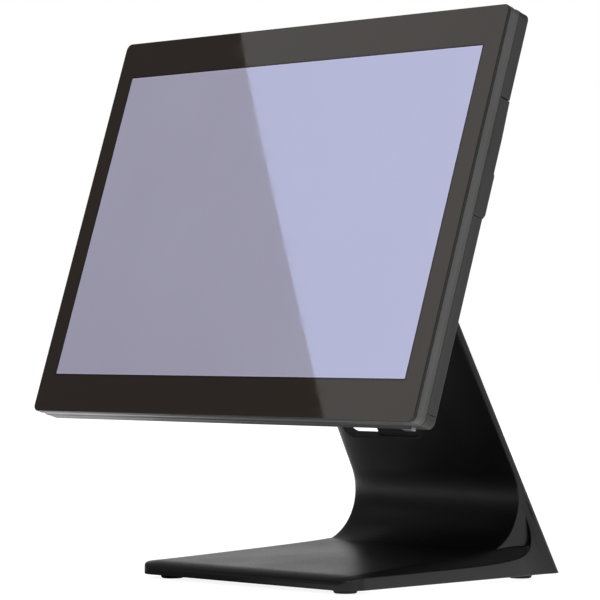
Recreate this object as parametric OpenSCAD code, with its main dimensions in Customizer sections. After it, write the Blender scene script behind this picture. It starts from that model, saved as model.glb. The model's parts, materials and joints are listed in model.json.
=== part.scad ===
// Counter-top sales terminal: a flat touch head that tilts on a swept one-piece stand.
// X runs across, the screen faces -Y, Z is up, and the table is at Z = 0.

/* [Head] */
// Width of the visible picture
screen_w = 331; // [325:1:340]
// Height of the visible picture
screen_h = 207; // [203:1:212]
// Printed border at each side of the picture
border_side = 15; // [14:0.5:18]
// Printed border above and below the picture
border_end = 25.6; // [24:0.2:30]
// Corner radius of the glass and the housings
corner_r = 4.5; // [3.5:0.5:7]
// Thickness of the head at its edge
slab_t = 17.5; // [17:0.5:18]
// Depth of the electronics hump behind the edge
hump_t = 15; // [14.5:0.5:16.5]
// Width of the hump
hump_w = 280; // [276:1:290]
// Height of the hump
hump_h = 190; // [188:1:200]
// Wall thickness of the rear housing
wall = 2.2; // [2:0.1:2.4]

/* [Tilt hinge] */
// How far the head leans back at rest
lean = 18; // [14:1:22]
// Height of the picture's middle above the table
screen_z = 229; // [226:1:234]
// Distance from the glass front to the hinge axis
axis_depth = 44; // [43.5:0.5:46]
// Height of the hinge axis above the picture's middle, along the head
axis_up = 6; // [4:1:8]
// Radius of the hinge pins
pin_r = 4; // [3.5:0.25:4.25]

/* [Stand] */
// Width of the base at its front
base_front_w = 204; // [200:1:210]
// Depth of the base, from its front edge to the foot of the back slope
base_depth = 204; // [202:1:206]
// Gap under the base that the feet fill
foot_h = 2.6; // [2.4:0.2:4]
// Radius of the sweep between the base and the neck
sweep_r = 32.7; // [31:0.1:34]
// Height of the neck's top edge
neck_top = 216; // [212:1:218]
// Width of the neck at table level
neck_low_w = 159; // [157:1:160]
// How much the neck narrows for each millimetre of height
neck_taper = 0.083; // [0.07:0.001:0.09]
// Thickness of the cast skin of the neck
skin_t = 3.4; // [3.2:0.1:3.6]
// Thickness of the rear cover
cover_t = 2.5; // [2.3:0.1:2.7]
// Forward run of the neck for each millimetre of height
neck_run = 0.519; // [0.51:0.001:0.53]

/* [Hidden] */
$fn = 64;
e = 0.05;

// Depths inside the head, counted back from the glass front
glass_w = screen_w + 2 * border_side;
glass_h = screen_h + 2 * border_end;
glass_t = 1.9;
sensor_t = 0.7;
gasket_t = 1.2;
frame_front = glass_t + gasket_t;
shell_front = 9.3;
lcd_w = 339;
lcd_h = 215;
bay_w = lcd_w + 4;
bay_h = lcd_h + 5;
chassis_front = 9.5;
chassis_t = 1.2;
board_front = 14.2;
board_t = 1.6;
board_back = board_front + board_t;
slab_in = slab_t - wall;
hump_back = slab_t + hump_t;
hump_in = hump_back - wall;
hump_low = -hump_h / 2;
head_bracket_t = 2.5;
head_bracket_back = hump_back + head_bracket_t;

// Places across the hinge, counted out from the middle
stand_ear_x = 36;
ear_t = 3;
washer_t = 1;
head_ear_x = stand_ear_x + ear_t + washer_t;
ear_r = 8.5;
spring_t = 3;
nut_t = 4;

// Fixing holes
m3_r = 1.5;
m3_head_r = 2.8;
m4_r = 2;
m4_head_r = 3.6;
housing_screws = [for (x = [-150, -50, 50, 150], s = [-1, 1]) [x, s * (glass_h / 2 - 9.6)]];
chassis_screws = [for (s = [-1, 1], z = [-85, -10, 90]) [s * (glass_w / 2 - 7), z]];
standoff_places = [for (x = [-78, 78], z = [-66, 50]) [x, z]];
hinge_pattern = 75;
vesa_pattern = 100;

// Power button, under the head near its right corner
button_x = 166;
button_w = 8;
button_d = 3.6;
button_depth = 11.8;
button_proud = 2.2;

// Ports along the hump's lower wall: middle across, width, height
port_depth = 23.5;
ethernet_port = [-60, 12, 9];
usb_ports = [[-36, 13.5, 6], [-16, 13.5, 6], [4, 13.5, 6]];
display_port = [29, 15.5, 6];
power_port = [58, 9, 9];
all_ports = concat([ethernet_port, display_port, power_port], usb_ports);
port_plate_t = 1.1;
socket_wall = 1.4;
socket_len = 13;

// Hinge axis above the table, and in the row's depth direction
axis_y0 = axis_depth * cos(lean) + axis_up * sin(lean);
axis_z = screen_z + axis_up * cos(lean) - axis_depth * sin(lean);

// Outline of the stand seen from the side, before the part is centred on its origin
base_front_y = -16.5;
base_back_y = base_front_y + base_depth;
slope_deg = atan(neck_run);
neck_across = (skin_t + cover_t) / cos(slope_deg);
cover_across = cover_t / cos(slope_deg);
back_at0 = base_back_y + neck_run * foot_h;
front_at0 = back_at0 - neck_across;
joint_at0 = back_at0 - cover_across;
base_rise = 0.0635;
base_taper = 0.117;
base_corner_r = 13;
base_edge_z = 10.6;
base_skin = 3.5;
neck_corner = 14;

// The hinge axis, back from the neck's front face and up along it
axis_neck_y = (axis_y0 - front_at0) * cos(slope_deg) + axis_z * sin(slope_deg);
axis_neck_z = -(axis_y0 - front_at0) * sin(slope_deg) + axis_z * cos(slope_deg);

// Hollows under the casting: front and back of the one in the base, top of the one in the neck
hollow_front = 12;
hollow_back = 118;
hollow_top = 52;

function base_top(y) = base_edge_z + base_rise * (y - base_front_y);
function base_half(y) = base_front_w / 2 - base_taper * (y - base_front_y - 4.5);
function neck_half(z) = (neck_low_w - neck_taper * z) / 2;

// The sweep touches the base's top and the neck's front
vertex_y = (front_at0 - neck_run * base_top(0)) / (1 + neck_run * base_rise);
vertex_z = base_top(vertex_y);
base_deg = atan(base_rise);
neck_deg = 90 + slope_deg;
half_corner = (180 + base_deg - neck_deg) / 2;
touch = sweep_r / tan(half_corner);
sweep_mid_deg = neck_deg + half_corner;
sweep_y = vertex_y + sweep_r / sin(half_corner) * cos(sweep_mid_deg);
sweep_z = vertex_z + sweep_r / sin(half_corner) * sin(sweep_mid_deg);
touch_base = [vertex_y - touch * cos(base_deg), vertex_z - touch * sin(base_deg)];
touch_neck = [vertex_y + touch * cos(neck_deg), vertex_z + touch * sin(neck_deg)];

// Slot in the neck that the cables pass through
slot_x = -30.25;
slot_w = 72.5;
slot_h = 28;
slot_low = 100.6;
grommet_t = 2;
flap_w = 42;

// Base plate, and the places of the feet and of the screws under the base
base_plate_t = 1.2;
front_foot = [82, -2];
rear_foot = [67, 164];
foot_r = 8;
base_screws = [[80, 26], [74, 100], [50, 141]];
rear_boss_h = 19;
cover_screws = [[66, 84], [64, 158], [58, 228]];
bracket_low = 203;
bracket_high = 241;
bracket_t = 3;
bracket_screws = [for (x = [-26, 26], z = [211, 231]) [x, z]];

// The origin is under the middle of the part's box
head_low_y = -glass_h / 2 * sin(lean);
origin_y = (head_low_y + base_back_y) / 2;

// ---------- shared shapes ----------

// Rectangle with round corners, centred
module round_rect(w, h, r) {
    square([w - 2 * r, h], center = true);
    square([w, h - 2 * r], center = true);
    for (x = [-1, 1], y = [-1, 1])
        translate([x * (w / 2 - r), y * (h / 2 - r)])
            circle(r);
}

// Extrudes a flat shape, drawn across and up, back from a depth
module slab(depth, t) {
    translate([0, depth + t, 0])
        rotate([90, 0, 0])
            linear_extrude(t)
                children();
}

// Round plate or pin that points back from a depth
module disc(depth, t, r) {
    slab(depth, t) circle(r);
}

// Extrudes a side view, drawn in depth and height, across a width
module across(w) {
    rotate([90, 0, 90])
        linear_extrude(w, center = true)
            children();
}

// Cylinder along X between two places
module cross_pin(x0, x1, r) {
    translate([x0, 0, 0])
        rotate([0, 90, 0])
            cylinder(h = x1 - x0, r = r);
}

module both_sides() {
    children();
    mirror([1, 0, 0]) children();
}

// Puts the row's origin under the middle of the box
module in_row() {
    translate([0, -origin_y, 0]) children();
}

// Head frame: X across, Y back from the glass front, Z up along the glass
module on_head() {
    in_row()
        translate([0, 0, screen_z])
            rotate([-lean, 0, 0])
                children();
}

// Neck frame: Y back from the neck's front face, Z up along it
module on_neck() {
    in_row()
        translate([0, front_at0, 0])
            rotate([slope_deg, 0, 0])
                children();
}

// Hinge axis, level with the row
module on_axis() {
    in_row()
        translate([0, axis_y0, axis_z])
            children();
}

// ---------- display ----------

module front_glass() {
    color("#2b2723")
        on_head() slab(0, glass_t) round_rect(glass_w, glass_h, corner_r);
}

module touch_sensor() {
    color("#9a98b8")
        on_head() slab(glass_t, sensor_t) round_rect(screen_w + 10, screen_h + 10, 1);
}

module glass_gasket() {
    color("#161616")
        on_head() slab(glass_t, gasket_t) difference() {
            round_rect(glass_w - 2.4, glass_h - 2.4, corner_r - 1.2);
            round_rect(bay_w + 2, bay_h + 2, 2);
        }
}

module lcd_cell() {
    color("#b4b4d8")
        on_head() slab(glass_t + sensor_t, 1.6) round_rect(lcd_w, lcd_h, 1);
}

module backlight_unit() {
    color("#c9ccd0")
        on_head() slab(glass_t + sensor_t + 1.6, 4.7) round_rect(lcd_w + 2, lcd_h + 3, 1.5);
}

module front_frame() {
    color("#3a3a3b")
        on_head() difference() {
            slab(frame_front, shell_front - frame_front) difference() {
                round_rect(glass_w, glass_h, corner_r);
                round_rect(bay_w, bay_h, 2);
            }
            for (p = concat(housing_screws, chassis_screws))
                translate([p[0], 0, p[1]]) disc(5.5, 5, m3_r);
        }
}

// ---------- inside the head ----------

module chassis_plate() {
    color("#b9bdc1")
        on_head() difference() {
            slab(chassis_front, chassis_t) round_rect(glass_w - 10, glass_h - 12, 3);
            for (p = housing_screws)
                translate([p[0], 0, p[1]]) disc(chassis_front - 1, 4, 4.3);
            for (p = chassis_screws)
                translate([p[0], 0, p[1]]) disc(chassis_front - 1, 4, m3_r);
            translate([button_x, 0, -glass_h / 2 + 8])
                slab(chassis_front - 1, 4) square([26, 18], center = true);
            translate([0, 0, 78])
                slab(chassis_front - 1, 4) round_rect(60, 12, 4);
        }
}

module chassis_screws() {
    color("#8d9094")
        on_head() for (p = chassis_screws) translate([p[0], 0, p[1]]) {
            disc(5.5, chassis_front + chassis_t - 5.5, m3_r);
            disc(chassis_front + chassis_t, 1.8, 2.6);
        }
}

module standoffs() {
    color("#c8a24a")
        on_head() for (p = standoff_places) translate([p[0], 0, p[1]])
            disc(chassis_front + chassis_t, board_front - chassis_front - chassis_t, 3);
}

module mainboard() {
    color("#1f5a3a")
        on_head() difference() {
            translate([0, 0, -15]) slab(board_front, board_t) square([170, 150], center = true);
            for (p = standoff_places)
                translate([p[0], 0, p[1]]) disc(board_front - 1, 4, 1.6);
        }
}

module processor() {
    color("#9ea2a6")
        on_head() translate([-12, 0, 15]) {
            slab(board_back, 0.6) square([38, 28], center = true);
            slab(board_back + 0.6, 0.7) square([28, 20], center = true);
        }
}

module heatsink() {
    base = board_back + 1.3;
    color("#a9adb1")
        on_head() translate([-12, 0, 15]) {
            slab(base, 2.5) square([72, 66], center = true);
            for (i = [0:11])
                translate([-33 + 6 * i, 0, 0]) slab(base + 2.4, 7.5) square([1.6, 66], center = true);
        }
}

module memory_module() {
    color("#2c6b48")
        on_head() translate([52, 0, 12]) {
            slab(board_back, 2.6) square([8, 70], center = true);
            translate([12, 0, 0]) slab(board_back + 1.6, 1.2) square([30, 67], center = true);
        }
}

module solid_state_drive() {
    color("#25282b")
        on_head() translate([-44, 0, -58]) {
            slab(board_back + 0.8, 2.2) square([60, 22], center = true);
            translate([34, 0, 0]) slab(board_back, 3.6) square([8, 22], center = true);
        }
}

module wireless_card() {
    color("#2f7a55")
        on_head() translate([30, 0, -58]) {
            slab(board_back + 0.8, 1.8) square([30, 22], center = true);
            translate([-18, 0, 0]) slab(board_back, 3) square([6, 22], center = true);
        }
}

module antennas() {
    color("#c0a060")
        on_head() both_sides() translate([120, 0, glass_h / 2 - 22])
            slab(chassis_front + chassis_t, 0.8) round_rect(60, 10, 2);
}

module power_board() {
    color("#2a5f48")
        on_head() translate([-114, 0, -20]) {
            slab(board_front, board_t) square([40, 100], center = true);
            for (z = [-34, -18])
                translate([8, 0, z]) disc(board_back, 9, 5);
            translate([-4, 0, 18]) slab(board_back, 8) square([24, 26], center = true);
            for (x = [-14, 14], z = [-44, 44])
                translate([x, 0, z])
                    disc(chassis_front + chassis_t, board_front - chassis_front - chassis_t, 2.5);
        }
}

module speakers() {
    color("#202022")
        on_head() both_sides() translate([118, 0, -103])
            slab(chassis_front + chassis_t, 3.2) round_rect(56, 16, 4);
}

// One socket: a box with a pocket that opens down through the port plate
module socket(port) {
    w = port[1];
    h = port[2];
    seat = wall - port_plate_t + 0.1;
    translate([port[0], port_depth, hump_low + port_plate_t]) difference() {
        union() {
            translate([-w / 2 - socket_wall, -h / 2 - socket_wall, 0])
                cube([w + 2 * socket_wall, h + 2 * socket_wall, socket_len]);
            translate([-w / 2 - socket_wall, board_back - port_depth, seat])
                cube([w + 2 * socket_wall, port_depth - board_back, socket_len - seat]);
        }
        translate([-w / 2, -h / 2, -1]) cube([w, h, socket_len - 1]);
    }
}

module ethernet_socket() {
    color("#c4c6c8") on_head() socket(ethernet_port);
}

module usb_sockets() {
    color("#c4c6c8") on_head() for (p = usb_ports) socket(p);
}

module display_socket() {
    color("#b8babd") on_head() socket(display_port);
}

module power_socket() {
    color("#1d1d1f") on_head() socket(power_port);
}

module port_plate() {
    color("#8f9295")
        on_head() difference() {
            translate([-84, port_depth - 6, hump_low]) cube([168, 12, port_plate_t]);
            for (p = all_ports)
                translate([p[0] - p[1] / 2, port_depth - p[2] / 2, hump_low - 1])
                    cube([p[1], p[2], 4]);
        }
}

module switch_board() {
    color("#2a5f48")
        on_head() translate([button_x, 0, -glass_h / 2]) {
            translate([-9, 10, 9.6]) cube([18, 4, 1.2]);
            translate([-3, 10.2, 8.2]) cube([6, 3.4, 1.5]);
            for (x = [-9, 7.5])
                translate([x, chassis_front + chassis_t, 9.6]) cube([1.5, 3.3, 12]);
        }
}

module power_button() {
    color("#d4d6d8")
        on_head() translate([button_x, button_depth, -glass_h / 2]) {
            translate([-button_w / 2, -button_d / 2, -button_proud]) cube([button_w, button_d, 9.3]);
            translate([-button_w / 2 - 2.5, -button_d / 2, wall + 0.2]) cube([button_w + 5, button_d, 1.4]);
        }
}

// ---------- rear housing ----------

module vents() {
    for (i = [-8:8])
        translate([14 * i, 0, 72]) slab(hump_in - 1, wall + 2) round_rect(3, 22, 1.4);
    for (i = [-9:9])
        translate([12 * i - 1.5, slab_t + 4, hump_h / 2 - wall - 1]) cube([3, 8, wall + 2]);
    both_sides()
        for (i = [0:7])
            translate([98 + 5.5 * i, 0, -103]) slab(slab_in - 1, wall + 2) round_rect(2, 12, 0.9);
}

module rear_housing() {
    color("#333335")
        on_head() difference() {
            union() {
                difference() {
                    union() {
                        slab(shell_front, slab_t - shell_front) round_rect(glass_w, glass_h, corner_r);
                        slab(slab_t - e, hump_t + e) round_rect(hump_w, hump_h, 14);
                    }
                    slab(shell_front - 1, slab_in - shell_front + 1)
                        round_rect(glass_w - 2 * wall, glass_h - 2 * wall, corner_r - wall);
                    slab(slab_in - 1, hump_in - slab_in + 1)
                        round_rect(hump_w - 2 * wall, hump_h - 2 * wall, 14 - wall);
                }
                for (p = housing_screws)
                    translate([p[0], 0, p[1]]) disc(shell_front, slab_in - shell_front + 0.5, 4);
                translate([glass_w / 2 - 4.5, shell_front, 0]) cube([4, slab_in - shell_front + 0.5, 74]);
            }
            for (p = housing_screws) translate([p[0], 0, p[1]]) {
                disc(shell_front - 1, slab_t, m3_r);
                disc(slab_t - 1.8, 4, m3_head_r + 0.2);
            }
            for (x = [-1, 1], z = [-1, 1], d = [hinge_pattern, vesa_pattern])
                translate([x * d / 2, 0, z * d / 2]) disc(hump_in - 1, wall + 2, m4_r);
            vents();
            translate([-84.1, port_depth - 6.1, hump_low - 1]) cube([168.2, 12.2, wall + 2]);
            translate([glass_w / 2 - 2, shell_front + 1, 0.2]) cube([4, 9, 73.6]);
            translate([button_x - button_w / 2 - 0.2, button_depth - button_d / 2 - 0.2, -glass_h / 2 - 1])
                cube([button_w + 0.4, button_d + 0.4, wall + 2]);
        }
}

module side_cover() {
    color("#2b2b2d")
        on_head() difference() {
            translate([glass_w / 2 - 1.9, shell_front + 1.2, 0.5])
                cube([1.9, slab_t - shell_front - 1.2, 73]);
            translate([glass_w / 2 - 0.7, slab_t - 2.2, 2.5]) cube([3, 4, 8]);
        }
}

module housing_screws() {
    color("#3c3d40")
        on_head() for (p = housing_screws) translate([p[0], 0, p[1]]) {
            disc(5.5, slab_t - 1.8 - 5.5, m3_r);
            difference() {
                disc(slab_t - 1.8, 1.6, m3_head_r);
                slab(slab_t - 1, 4) circle(1.3, $fn = 6);
            }
        }
}

// ---------- tilt hinge ----------

module hinge_backing() {
    color("#9a9da1")
        on_head() difference() {
            slab(hump_in - 2, 2) round_rect(120, 120, 6);
            for (x = [-1, 1], z = [-1, 1], d = [hinge_pattern, vesa_pattern])
                translate([x * d / 2, 0, z * d / 2]) disc(hump_in - 4, 6, m4_r);
        }
}

module head_bracket() {
    color("#2a2a2c")
        on_head() difference() {
            union() {
                slab(hump_back, head_bracket_t) round_rect(90, 90, 6);
                both_sides() translate([head_ear_x, 0, 0]) {
                    translate([0, axis_depth, axis_up]) cross_pin(0, ear_t, ear_r);
                    translate([0, hump_back + 1, axis_up - ear_r])
                        cube([ear_t, axis_depth - hump_back - 1, 2 * ear_r]);
                }
            }
            for (x = [-1, 1], z = [-1, 1])
                translate([x * hinge_pattern / 2, 0, z * hinge_pattern / 2])
                    disc(hump_back - 1, 5, m4_r);
            translate([0, axis_depth, axis_up]) cross_pin(-60, 60, pin_r);
        }
}

module head_bracket_screws() {
    color("#55575a")
        on_head() for (x = [-1, 1], z = [-1, 1])
            translate([x * hinge_pattern / 2, 0, z * hinge_pattern / 2]) {
                disc(hump_in - 2, head_bracket_back - hump_in + 2, m4_r);
                difference() {
                    disc(head_bracket_back, 2.2, m4_head_r);
                    slab(head_bracket_back + 1, 4) circle(1.5, $fn = 6);
                }
            }
}

module hinge_pins() {
    color("#b0b3b7")
        on_axis() both_sides() {
            cross_pin(stand_ear_x - spring_t - nut_t - 1, head_ear_x + ear_t, pin_r);
            cross_pin(head_ear_x + ear_t, head_ear_x + ear_t + 2.5, 7.5);
        }
}

module friction_washers() {
    color("#c49a55")
        on_axis() both_sides() difference() {
            cross_pin(stand_ear_x + ear_t, head_ear_x, 8);
            cross_pin(stand_ear_x, head_ear_x + 1, pin_r);
        }
}

// Three dished washers, each turned over against the last
module disc_springs() {
    step = spring_t / 3;
    color("#7d8084")
        on_axis() both_sides() translate([stand_ear_x - spring_t, 0, 0]) rotate([0, 90, 0])
            for (i = [0:2])
                translate([0, 0, step * i]) rotate_extrude()
                    polygon(i % 2 == 0
                        ? [[pin_r, 0], [7.5, 0.4], [7.5, step], [pin_r, 0.6]]
                        : [[pin_r, 0.4], [7.5, 0], [7.5, 0.6], [pin_r, step]]);
}

module lock_nuts() {
    color("#9b9ea2")
        on_axis() both_sides() difference() {
            translate([stand_ear_x - spring_t - nut_t, 0, 0]) rotate([0, 90, 0])
                cylinder(h = nut_t, r = 7.5, $fn = 6);
            cross_pin(0, stand_ear_x, pin_r);
        }
}

module stand_bracket() {
    color("#2a2a2c")
        difference() {
            on_neck() {
                translate([-46, -bracket_t, bracket_low])
                    cube([92, bracket_t, bracket_high - bracket_low]);
                both_sides() translate([stand_ear_x + ear_t / 2, 0, 0]) {
                    translate([-ear_t / 2, axis_neck_y, axis_neck_z]) cross_pin(0, ear_t, ear_r);
                    across(ear_t) polygon([
                        [-1, bracket_low + 4], [-1, bracket_high],
                        [axis_neck_y + ear_r - 0.5, axis_neck_z + 1.5],
                        [axis_neck_y - ear_r + 0.5, axis_neck_z - 1.5]
                    ]);
                }
            }
            on_axis() cross_pin(-60, 60, pin_r + 0.05);
            on_neck() for (p = bracket_screws)
                translate([p[0], 0, p[1]]) disc(-6, 8, m4_r);
        }
}

module stand_bracket_screws() {
    color("#55575a")
        on_neck() for (p = bracket_screws) translate([p[0], 0, p[1]]) {
            disc(-bracket_t, bracket_t + skin_t - 0.5, m4_r);
            difference() {
                disc(-bracket_t - 2.4, 2.4, m4_head_r);
                slab(-bracket_t - 4, 3) circle(1.6, $fn = 6);
            }
        }
}

// Part of a ring round the hinge axis that the tilting head never reaches
module cover_ring(r_out, r_in) {
    difference() {
        circle(r_out);
        if (r_in > 0) circle(r_in);
        polygon([
            [0, 0], 30 * [cos(50), sin(50)], 30 * [cos(90), sin(90)], 30 * [cos(135), sin(135)],
            30 * [cos(180), sin(180)], 30 * [cos(232), sin(232)]
        ]);
    }
}

module hinge_cover() {
    hood_r = 13;
    top_y = hood_r * cos(50 - slope_deg) + axis_neck_y;
    top_z = hood_r * sin(50 - slope_deg) + axis_neck_z;
    neck_end = neck_top / cos(slope_deg);
    color("#232325")
        difference() {
            union() {
                on_axis() across(100) cover_ring(hood_r, hood_r - 1.8);
                on_axis() both_sides() translate([49, 0, 0]) across(2) cover_ring(hood_r, 0);
                on_neck() across(100) polygon([
                    [top_y - 1.3, top_z - 1.2], [top_y, top_z],
                    [skin_t + cover_t, neck_end + 5], [skin_t + cover_t, neck_end + 0.2],
                    [skin_t + cover_t - 3, neck_end + 0.2]
                ]);
            }
            on_neck() both_sides() translate([stand_ear_x + ear_t / 2, 0, 0])
                across(ear_t + 0.4) polygon([
                    [-0.5, bracket_low], [-0.5, bracket_high + 0.4],
                    [axis_neck_y + ear_r + 0.2, axis_neck_z + 1.5],
                    [axis_neck_y - ear_r - 2, axis_neck_z - 1.5]
                ]);
        }
}

// ---------- stand ----------

// Side view of the whole stand in front of the rear cover
module stand_side_view() {
    difference() {
        polygon([
            [base_front_y, foot_h], [base_front_y, foot_h + 3], [base_front_y + 5, base_edge_z - 1.8],
            [base_front_y + 13, base_top(base_front_y + 13)],
            touch_base, [sweep_y, sweep_z], touch_neck,
            [front_at0 - neck_run * neck_top, neck_top], [joint_at0 - neck_run * neck_top, neck_top],
            [joint_at0 - neck_run * foot_h, foot_h]
        ]);
        translate([sweep_y, sweep_z]) circle(sweep_r, $fn = 128);
    }
}

// Plan of the base: tapered towards the back, with round front corners
module base_plan() {
    corner_y = base_front_y + base_corner_r;
    corner_x = base_half(corner_y) - base_corner_r;
    polygon([
        [-base_half(base_back_y), base_back_y], [-base_half(corner_y), corner_y],
        [-corner_x, corner_y], [-corner_x, base_front_y],
        [corner_x, base_front_y], [corner_x, corner_y],
        [base_half(corner_y), corner_y], [base_half(base_back_y), base_back_y]
    ]);
    for (s = [-1, 1])
        translate([s * corner_x, corner_y]) circle(base_corner_r);
}

// Takes the shoulder off the base's top edge along one side
module shoulder_cut() {
    translate([base_half(base_front_y), base_front_y, base_edge_z + 0.4])
        rotate([0, 0, atan(base_taper)])
            rotate([0, 32, 0])
                translate([-40, -60, 0])
                    cube([80, 340, 40]);
}

module neck_front_view() {
    top = neck_top;
    clip = neck_corner;
    polygon([
        [-neck_half(0), 0], [neck_half(0), 0], [neck_half(top - clip), top - clip],
        [neck_half(top) - 4, top - 4], [neck_half(top) - clip, top],
        [-neck_half(top) + clip, top], [-neck_half(top) + 4, top - 4],
        [-neck_half(top - clip), top - clip]
    ]);
}

module base_hollow() {
    low = foot_h - 1;
    intersection() {
        across(2 * base_front_w) polygon([
            [hollow_front, low], [hollow_front, base_top(hollow_front) - base_skin],
            [hollow_back, base_top(hollow_back) - base_skin], [hollow_back, low]
        ]);
        linear_extrude(60) polygon([
            [-base_half(hollow_front) + 4.5, hollow_front], [base_half(hollow_front) - 4.5, hollow_front],
            [base_half(hollow_back) - 7, hollow_back], [-base_half(hollow_back) + 7, hollow_back]
        ]);
    }
}

module neck_hollow() {
    low = foot_h - 1;
    start = hollow_back - 8;
    across(2 * neck_half(hollow_top) - 7) difference() {
        polygon([
            [start, low], [start, base_top(start) - base_skin], touch_base - [0, base_skin],
            [sweep_y, sweep_z - 20], [sweep_y, hollow_top],
            [joint_at0 - neck_run * hollow_top + 1, hollow_top], [joint_at0 - neck_run * low + 1, low]
        ]);
        translate([sweep_y, sweep_z]) circle(sweep_r + skin_t, $fn = 128);
    }
}

module slot_shape(grow) {
    translate([slot_x, slot_low + slot_h / 2])
        round_rect(slot_w + 2 * grow, slot_h + 2 * grow, 7 + grow);
}

module stand_body() {
    color("#1c1c1e") {
        difference() {
            in_row() union() {
                difference() {
                    union() {
                        difference() {
                            intersection() {
                                across(base_front_w + 10) stand_side_view();
                                linear_extrude(base_top(touch_base[0])) base_plan();
                            }
                            both_sides() shoulder_cut();
                        }
                        intersection() {
                            across(base_front_w + 10) stand_side_view();
                            translate([0, base_back_y + 1, 0]) rotate([90, 0, 0])
                                linear_extrude(base_depth) neck_front_view();
                            translate([-base_front_w, touch_base[0] - 60, 0])
                                cube([2 * base_front_w, base_depth, neck_top + 1]);
                        }
                    }
                    base_hollow();
                    neck_hollow();
                }
                for (p = base_screws, s = [-1, 1])
                    translate([s * p[0], p[1], foot_h + base_plate_t])
                        cylinder(
                            h = p[1] > hollow_back ? rear_boss_h : base_top(p[1]) - 2 - foot_h - base_plate_t,
                            r = 4);
            }
            in_row() for (p = base_screws, s = [-1, 1])
                translate([s * p[0], p[1], foot_h]) cylinder(h = 6, r = m3_r);
            on_neck() slab(-5, 20) slot_shape(grommet_t);
            on_neck() for (p = bracket_screws)
                translate([p[0], 0, p[1]]) disc(-1, skin_t + 0.5, m4_r);
            on_neck() for (p = cover_screws, s = [-1, 1])
                translate([s * p[0], 0, p[1]]) disc(skin_t - 2.6, 6, m3_r);
        }
    }
}

module rear_cover() {
    color("#262628")
        difference() {
            in_row() intersection() {
                across(base_front_w) polygon([
                    [joint_at0 - neck_run * neck_top, neck_top], [back_at0 - neck_run * neck_top, neck_top],
                    [back_at0 - neck_run * foot_h, foot_h], [joint_at0 - neck_run * foot_h, foot_h]
                ]);
                translate([0, base_back_y + 1, 0]) rotate([90, 0, 0])
                    linear_extrude(base_depth) neck_front_view();
            }
            on_neck() slab(-5, 20) slot_shape(grommet_t);
            on_neck() for (p = cover_screws, s = [-1, 1]) translate([s * p[0], 0, p[1]]) {
                disc(skin_t - 2.6, 12, m3_r);
                disc(skin_t + 1, 12, m3_head_r);
            }
        }
}

module rear_cover_screws() {
    color("#55575a")
        on_neck() for (p = cover_screws, s = [-1, 1]) translate([s * p[0], 0, p[1]]) {
            disc(skin_t - 2.6, 3.7, m3_r);
            difference() {
                disc(skin_t + 1, cover_t - 1, m3_head_r);
                slab(skin_t + 1.6, 4) circle(1.3, $fn = 6);
            }
        }
}

module base_plate() {
    front_x = base_half(hollow_front) - 4.6;
    step_x = base_half(hollow_back) - 7.1;
    rear_x = neck_half(hollow_top) - 3.6;
    rear_y = joint_at0 - neck_run * 4;
    color("#6d7074")
        in_row() difference() {
            translate([0, 0, foot_h]) linear_extrude(base_plate_t) polygon([
                [-front_x, hollow_front + 0.1], [front_x, hollow_front + 0.1],
                [step_x, hollow_back - 0.1], [rear_x, hollow_back], [rear_x, rear_y],
                [-rear_x, rear_y], [-rear_x, hollow_back], [-step_x, hollow_back - 0.1]
            ]);
            for (p = base_screws, s = [-1, 1])
                translate([s * p[0], p[1], 0]) cylinder(h = 10, r = m3_head_r);
        }
}

module base_screws() {
    color("#8d9094")
        in_row() for (p = base_screws, s = [-1, 1]) translate([s * p[0], p[1], foot_h]) {
            difference() {
                cylinder(h = base_plate_t, r = m3_head_r);
                translate([0, 0, -1]) cylinder(h = 1.6, r = 1.3, $fn = 6);
            }
            translate([0, 0, base_plate_t]) cylinder(h = 4.8, r = m3_r);
        }
}

module ballast_plate() {
    color("#5d6063")
        in_row() translate([-68, 18, foot_h + base_plate_t]) cube([136, 92, 5]);
}

// Rubber ring in the neck's slot, with a flap that closes most of it
module cable_grommet() {
    color("#101011")
        on_neck() {
            slab(0, skin_t + cover_t) difference() {
                slot_shape(grommet_t);
                slot_shape(0);
            }
            slab(1.2, 1.6) intersection() {
                slot_shape(0.5);
                translate([slot_x + slot_w / 2 - flap_w, slot_low - 5]) square([flap_w + 10, slot_h + 10]);
            }
        }
}

module feet() {
    color("#0c0c0c")
        in_row() both_sides() for (p = [front_foot, rear_foot])
            translate([p[0], p[1], 0]) rotate_extrude()
                polygon([[0, 0], [foot_r - 1.2, 0], [foot_r, foot_h], [0, foot_h]]);
}

front_glass();
touch_sensor();
glass_gasket();
lcd_cell();
backlight_unit();
front_frame();
chassis_plate();
chassis_screws();
mainboard();
standoffs();
processor();
heatsink();
memory_module();
solid_state_drive();
wireless_card();
antennas();
power_board();
speakers();
ethernet_socket();
usb_sockets();
display_socket();
power_socket();
port_plate();
switch_board();
power_button();
rear_housing();
side_cover();
housing_screws();
hinge_backing();
head_bracket();
head_bracket_screws();
hinge_pins();
friction_washers();
disc_springs();
lock_nuts();
stand_bracket();
stand_bracket_screws();
hinge_cover();
stand_body();
rear_cover();
rear_cover_screws();
base_plate();
base_screws();
ballast_plate();
cable_grommet();
feet();
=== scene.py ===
"""Counter-top sales terminal: materials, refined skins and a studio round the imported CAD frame."""

import json
import math

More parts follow.
